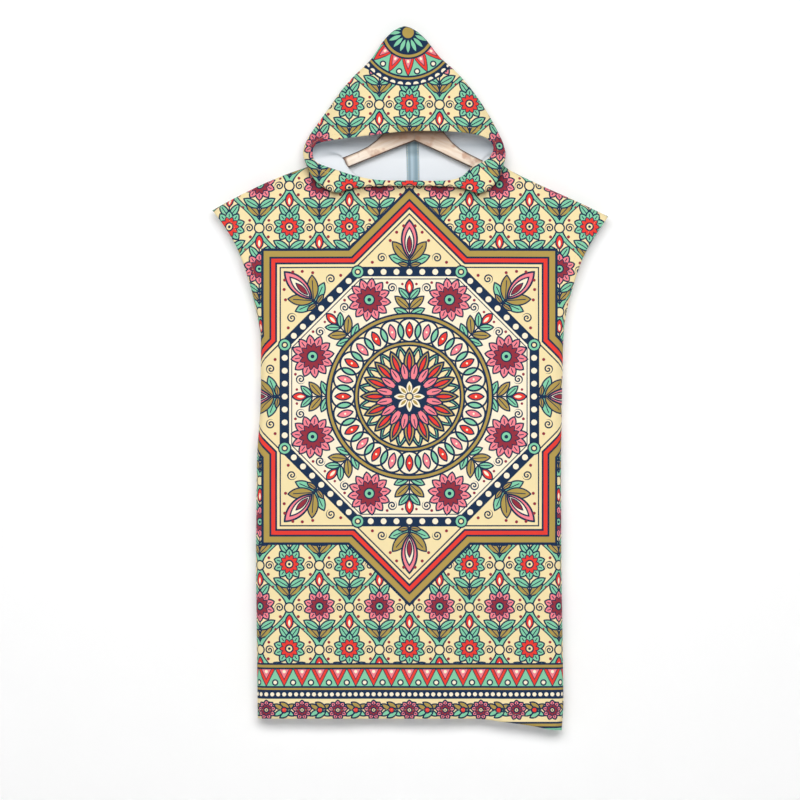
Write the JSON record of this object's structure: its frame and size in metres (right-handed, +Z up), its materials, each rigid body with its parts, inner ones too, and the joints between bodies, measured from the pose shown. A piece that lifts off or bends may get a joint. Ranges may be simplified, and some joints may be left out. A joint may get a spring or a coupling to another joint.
{
  "type": "hooded towel poncho on clothes hanger",
  "caption": "Hooded beach-towel poncho with open armholes and hem, hung flat on a shaped wooden clothes hanger with a wire hook.",
  "frame": {"origin": "inner top of the hook's bend, where a rail carries the hanger", "axes": "+Z up, the garment's front faces -Y, +X is to the right as seen from the front"},
  "size_m": [0.6198, 0.0482, 1.1035],
  "materials": {
    "printed_towel": "printed short-pile towelling, cream ground, white inside",
    "seam_strip": "plain woven tape, blue-grey",
    "wood": "pale satin",
    "steel": "bright wire"
  },
  "bodies": {
    "root": {"front_panel": "printed_towel", "back_panel": "printed_towel", "hood": "printed_towel", "hood_seam_strip": "seam_strip", "hanger_arm_left": "wood", "hanger_arm_right": "wood", "hanger_hook": "steel"}
  },
  "joints": []
}
